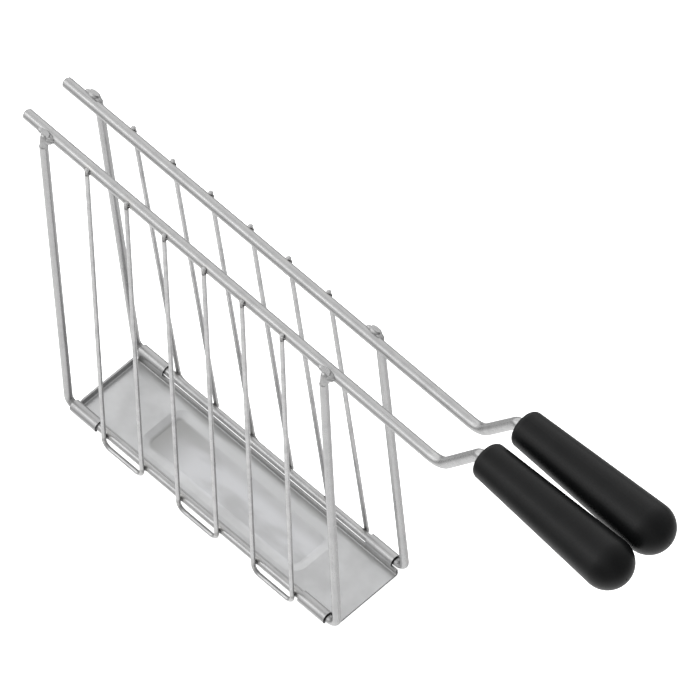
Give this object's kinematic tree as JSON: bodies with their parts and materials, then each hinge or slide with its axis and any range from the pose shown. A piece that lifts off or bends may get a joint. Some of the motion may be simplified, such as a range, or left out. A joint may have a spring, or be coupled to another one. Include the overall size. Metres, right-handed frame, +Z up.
{
  "type": "toaster sandwich cage",
  "caption": "Hinged wire cage with long black grips that holds a sandwich in a slot toaster: two wire sides turn on a sheet-metal tray.",
  "frame": {"origin": "centre of the tray's flat underside, in the plane that the cage stands on", "axes": "+X along the cage towards the grips, +Y to the back side, +Z up"},
  "size_m": [0.2754, 0.0374, 0.1767],
  "materials": {
    "sheet_steel": "rolled stainless sheet, satin, with soft bend lines",
    "wire_steel": "drawn stainless wire, satin, heat-tinted beside the spot welds",
    "grip_plastic": "fine-textured matte black heat-resistant plastic"
  },
  "bodies": {
    "tray": {"tray": "sheet_steel"},
    "front_side": {"front_rail": "wire_steel", "front_frame_wire": "wire_steel", "front_loop_1": "wire_steel", "front_loop_2": "wire_steel", "front_loop_3": "wire_steel", "front_grip": "grip_plastic"},
    "back_side": {"back_rail": "wire_steel", "back_frame_wire": "wire_steel", "back_loop_1": "wire_steel", "back_loop_2": "wire_steel", "back_loop_3": "wire_steel", "back_grip": "grip_plastic"}
  },
  "joints": [
    {"name": "front_hinge", "type": "hinge", "parent": "tray", "child": "front_side", "pos_m": [0, -0.01555, 0.00455], "axis": [1, 0, 0], "range_deg": [0, 48]},
    {"name": "back_hinge", "type": "hinge", "parent": "tray", "child": "back_side", "pos_m": [0, 0.01555, 0.00455], "axis": [-1, 0, 0], "range_deg": [0, 48]}
  ]
}
